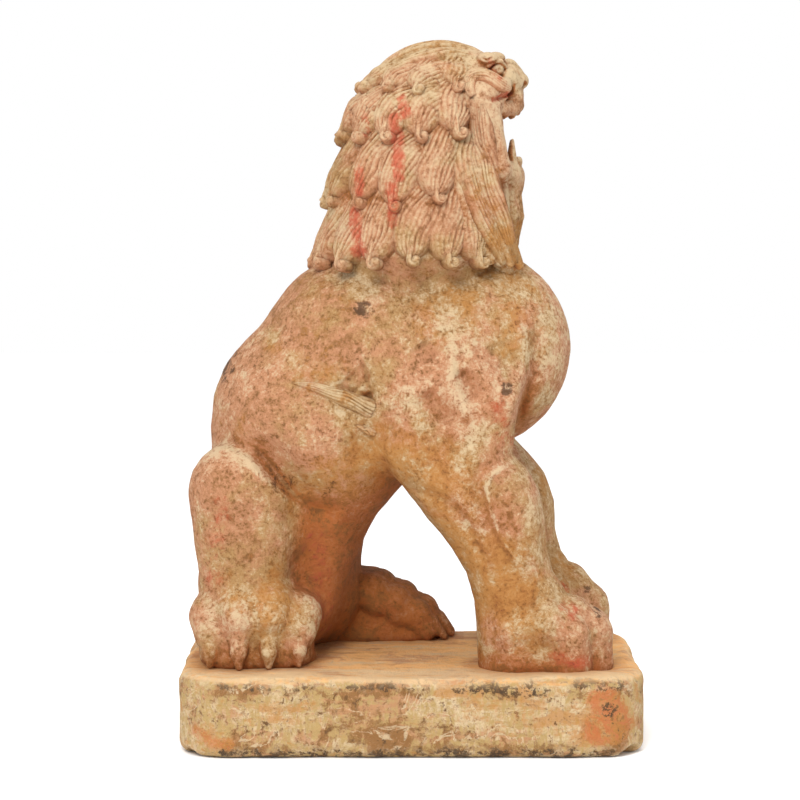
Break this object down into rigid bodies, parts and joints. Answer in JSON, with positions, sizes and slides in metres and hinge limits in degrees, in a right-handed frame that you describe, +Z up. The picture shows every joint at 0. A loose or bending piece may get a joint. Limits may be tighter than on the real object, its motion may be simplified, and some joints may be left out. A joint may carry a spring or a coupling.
{
  "type": "stone lion carving",
  "caption": "Carved stone lion that sits upright and roars, with a mane of tiered curled locks, on a low plinth with rounded corners.",
  "frame": {"origin": "middle of the plinth's underside", "axes": "+Z up, +X the way the lion faces, +Y to its left"},
  "size_m": [0.47, 0.295, 0.7191],
  "materials": {
    "figure": "matte weathered stone with traces of ochre and red pigment",
    "eyes": "dark weathered stone",
    "teeth": "weathered pale stone",
    "mane": "weathered stone with red pigment in the grooves",
    "plinth": "flaking cream paint and grime over stone"
  },
  "bodies": {
    "root": {"beard": "mane", "face": "figure", "left_cheek_locks": "mane", "left_elbow_tuft": "mane", "left_eye": "eyes", "left_fore_paw": "figure", "left_foreleg": "figure", "left_hind_leg": "figure", "left_hind_paw": "figure", "left_lower_fang": "teeth", "left_upper_fang": "teeth", "lower_jaw": "figure", "mane_tier_1": "mane", "mane_tier_2": "mane", "mane_tier_3": "mane", "mane_tier_4": "mane", "plinth": "plinth", "right_cheek_locks": "mane", "right_elbow_tuft": "mane", "right_eye": "eyes", "right_fore_paw": "figure", "right_foreleg": "figure", "right_hind_leg": "figure", "right_hind_paw": "figure", "right_lower_fang": "teeth", "right_upper_fang": "teeth", "tail": "figure", "tongue": "figure", "torso": "figure"}
  },
  "joints": []
}
